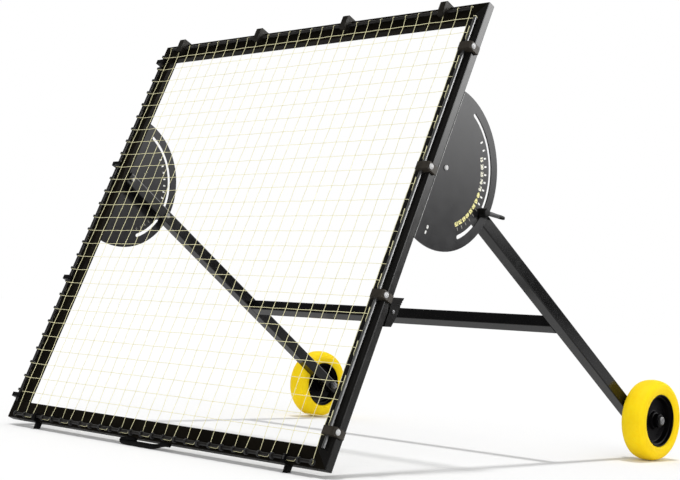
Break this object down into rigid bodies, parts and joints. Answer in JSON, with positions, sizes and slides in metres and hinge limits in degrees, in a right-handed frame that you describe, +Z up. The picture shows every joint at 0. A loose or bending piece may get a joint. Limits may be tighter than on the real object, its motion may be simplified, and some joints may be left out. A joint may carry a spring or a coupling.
{
  "type": "rebounder net",
  "caption": "Square steel-framed ball rebounder net on a wheeled stand, its angle set by levers against slotted side plates.",
  "frame": {"origin": "on the floor, centred across the frame and midway between the bottom clips' front and the tyres' back", "axes": "+Z up, +Y from the net's front towards the wheels, +X to the right for someone facing the net's front"},
  "size_m": [1.594, 1.6182, 1.3413],
  "materials": {
    "black_paint": "satin black powder coat",
    "black_plastic": "moulded, satin",
    "bright_steel": "zinc plated",
    "yellow_tyre": "foamed yellow tyre, finely textured",
    "grey_lever": "moulded, matt",
    "net_cord": "woven cord",
    "black_rubber": "dipped grip"
  },
  "bodies": {
    "frame": {"frame_tube_bottom": "black_paint", "frame_tube_left": "black_paint", "frame_tube_right": "black_paint", "frame_tube_top": "black_paint", "net": "net_cord", "net_rod_bottom": "black_paint", "net_rod_left": "black_paint", "net_rod_right": "black_paint", "net_rod_top": "black_paint", "rod_clamp_bottom_1": "black_plastic", "rod_clamp_bottom_2": "black_plastic", "rod_clamp_left_1": "black_plastic", "rod_clamp_left_2": "black_plastic", "rod_clamp_left_3": "black_plastic", "rod_clamp_left_4": "black_plastic", "rod_clamp_right_1": "black_plastic", "rod_clamp_right_2": "black_plastic", "rod_clamp_right_3": "black_plastic", "rod_clamp_right_4": "black_plastic", "rod_clamp_top_1": "black_plastic", "rod_clamp_top_2": "black_plastic", "rod_clamp_top_3": "black_plastic", "rod_clamp_top_4": "black_plastic", "clamp_bolt_right_1": "bright_steel", "clamp_bolt_right_2": "bright_steel", "clamp_bolt_right_3": "bright_steel", "clamp_bolt_right_4": "bright_steel", "angle_plate_left": "black_paint", "angle_plate_right": "black_paint", "stop_block": "black_plastic", "block_bolt": "bright_steel", "grab_handle": "black_rubber"},
    "stand": {"leg_left": "black_paint", "leg_right": "black_paint", "leg_cap_left": "black_plastic", "leg_cap_right": "black_plastic", "crossbar": "black_paint", "pivot_bolt_left": "bright_steel", "pivot_bolt_right": "bright_steel", "pivot_nut_left": "bright_steel", "pivot_nut_right": "bright_steel", "axle_bolt_left": "bright_steel", "axle_bolt_right": "bright_steel", "axle_nut_left": "bright_steel", "axle_nut_right": "bright_steel", "clamp_stud_left": "bright_steel", "clamp_stud_right": "bright_steel"},
    "wheel_left": {"wheel_rim_left": "black_plastic", "wheel_tyre_left": "yellow_tyre"},
    "wheel_right": {"wheel_rim_right": "black_plastic", "wheel_tyre_right": "yellow_tyre"},
    "lever_left": {"clamp_lever_left": "grey_lever"},
    "lever_right": {"clamp_lever_right": "grey_lever"}
  },
  "joints": [
    {"name": "stand_angle", "type": "hinge", "parent": "frame", "child": "stand", "pos_m": [0, -0.38125, 0.83448], "axis": [1, 0, 0], "range_deg": [-36.3, 87.4]},
    {"name": "wheel_left_spin", "type": "hinge", "parent": "stand", "child": "wheel_left", "pos_m": [-0.7547, 0.67905, 0.13], "axis": [1, 0, 0], "continuous": true},
    {"name": "wheel_right_spin", "type": "hinge", "parent": "stand", "child": "wheel_right", "pos_m": [0.7547, 0.67905, 0.13], "axis": [1, 0, 0], "continuous": true},
    {"name": "lever_left_turn", "type": "hinge", "parent": "stand", "child": "lever_left", "pos_m": [-0.7273, -0.21591, 0.72463], "axis": [-1, 0, 0], "range_deg": [0, 180]},
    {"name": "lever_right_turn", "type": "hinge", "parent": "stand", "child": "lever_right", "pos_m": [0.7273, -0.21591, 0.72463], "axis": [1, 0, 0], "range_deg": [0, 180]}
  ]
}
